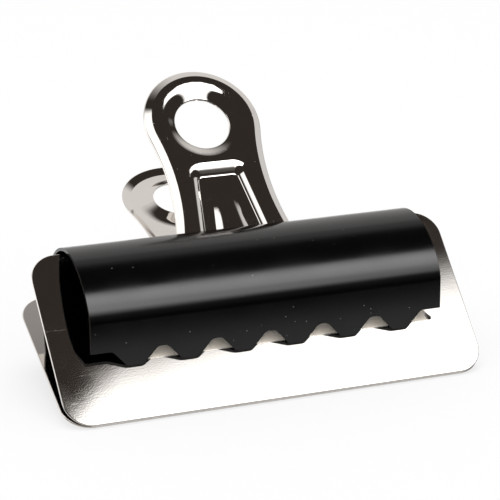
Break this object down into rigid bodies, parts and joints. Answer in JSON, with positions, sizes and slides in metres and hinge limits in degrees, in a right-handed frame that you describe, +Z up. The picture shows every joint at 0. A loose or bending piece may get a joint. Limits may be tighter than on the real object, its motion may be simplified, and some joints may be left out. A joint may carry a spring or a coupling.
{
  "type": "bulldog clip",
  "caption": "Sprung steel paper clip: two wide nickel-plated jaw plates with pierced thumb levers, held shut by a black rolled spring with toothed edges.",
  "frame": {"origin": "on the table, under the middle of the clip's box, with the clip lying on its back lip and the side of its barrel", "axes": "+X along the jaws and the barrel, +Y from the lips towards the levers, +Z up from the table"},
  "size_m": [0.075, 0.061, 0.0443],
  "materials": {
    "nickel": "bright nickel plate on pressed steel sheet",
    "black_lacquer": "gloss black lacquer on spring steel"
  },
  "bodies": {
    "back_jaw": {"back_jaw": "nickel"},
    "spring": {"spring": "black_lacquer"},
    "front_jaw": {"front_jaw": "nickel"}
  },
  "joints": [
    {"name": "spring_rock", "type": "hinge", "parent": "back_jaw", "child": "spring", "pos_m": [0, -0.00076, 0.01342], "axis": [-1, 0, 0], "range_deg": [0, 22.5], "stiffness_Nm_per_rad": 1.2, "springref_deg": -11.46, "deforming": ["spring"]},
    {"name": "lever_squeeze", "type": "hinge", "parent": "spring", "child": "front_jaw", "pos_m": [0, -0.00613, 0.02177], "axis": [-1, 0, 0], "range_deg": [0, 22.5], "stiffness_Nm_per_rad": 1.2, "springref_deg": -11.46, "deforming": ["spring"]}
  ],
  "couplings": [
    {"joint": "spring_rock", "follows": "lever_squeeze", "ratio": 1}
  ]
}
